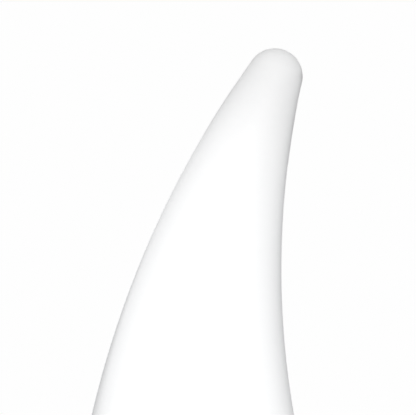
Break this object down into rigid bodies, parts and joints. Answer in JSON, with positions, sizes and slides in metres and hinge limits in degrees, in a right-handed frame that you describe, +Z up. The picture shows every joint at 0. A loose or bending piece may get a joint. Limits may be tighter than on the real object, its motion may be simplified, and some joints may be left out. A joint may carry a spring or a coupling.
{
  "type": "icicle hanging ornament",
  "caption": "Battery-lit hanging ornament: a bent, blunt-tipped opal icicle shell that pulls off a fluted cap with its switch, coin cells and LED board, on a swivelling metal hanger.",
  "frame": {"origin": "centre of the hanging eye's bore", "axes": "+Z up, as the ornament hangs tip down; the icicle bends towards -X; the eye's bore runs along Y"},
  "size_m": [0.0498, 0.0498, 0.1431],
  "materials": {
    "hanger_plate": "polished nickel plate on die-cast zinc",
    "hanger_pin": "drawn steel, bright",
    "hanger_post": "turned brass, nickel plated",
    "nylon": "natural nylon",
    "spring_steel": "oiled spring steel",
    "cap_silver": "satin silver metallised coat",
    "screw_steel": "zinc plated",
    "switch_black": "fine moulded black",
    "slider_white": "moulded white",
    "tinned_brass": "tinned",
    "carrier_white": "moulded white",
    "ring_rubber": "satin black",
    "cell_can": "brushed can",
    "contact_spring": "nickel-plated spring strip",
    "board_green": "white solder mask",
    "led_epoxy": "milky clear epoxy, cool white",
    "resistor_tan": "lacquered",
    "wire_red": "flexible insulation",
    "opal_white": "opal milk-white, satin gloss, translucent"
  },
  "bodies": {
    "bail": {"hanging_bail": "hanger_plate", "bail_pin": "hanger_pin"},
    "swivel": {"swivel_post": "hanger_post", "swivel_washer": "nylon", "retaining_clip": "spring_steel"},
    "light_unit": {"cap_crown": "cap_silver", "carrier_screws": "screw_steel", "switch_body": "switch_black", "switch_terminals": "tinned_brass", "carrier": "carrier_white", "seal_ring_upper": "ring_rubber", "seal_ring_lower": "ring_rubber", "cell_upper": "cell_can", "cell_lower": "cell_can", "positive_contact": "contact_spring", "negative_contact": "contact_spring", "cell_cover": "carrier_white", "cover_screw": "screw_steel", "led_board": "board_green", "board_screws": "screw_steel", "led_1": "led_epoxy", "led_2": "led_epoxy", "led_3": "led_epoxy", "resistor_1": "resistor_tan", "resistor_2": "resistor_tan", "resistor_3": "resistor_tan", "wire_positive": "wire_red", "wire_switched": "wire_red"},
    "switch": {"switch_slider": "slider_white"},
    "icicle": {"diffuser_shell": "opal_white"}
  },
  "joints": [
    {"name": "bail_swing", "type": "hinge", "parent": "bail", "child": "swivel", "pos_m": [0, 0, -0.011], "axis": [1, 0, 0], "range_deg": [-90, 90]},
    {"name": "cap_swivel", "type": "hinge", "parent": "swivel", "child": "light_unit", "pos_m": [0, 0, -0.01515], "axis": [0, 0, 1], "continuous": true},
    {"name": "switch_slide", "type": "slide", "parent": "light_unit", "child": "switch", "axis": [1, 0, 0], "range_m": [0, 0.002]},
    {"name": "icicle_pull", "type": "slide", "parent": "light_unit", "child": "icicle", "axis": [0, 0, -1], "range_m": [0, 0.036]}
  ]
}
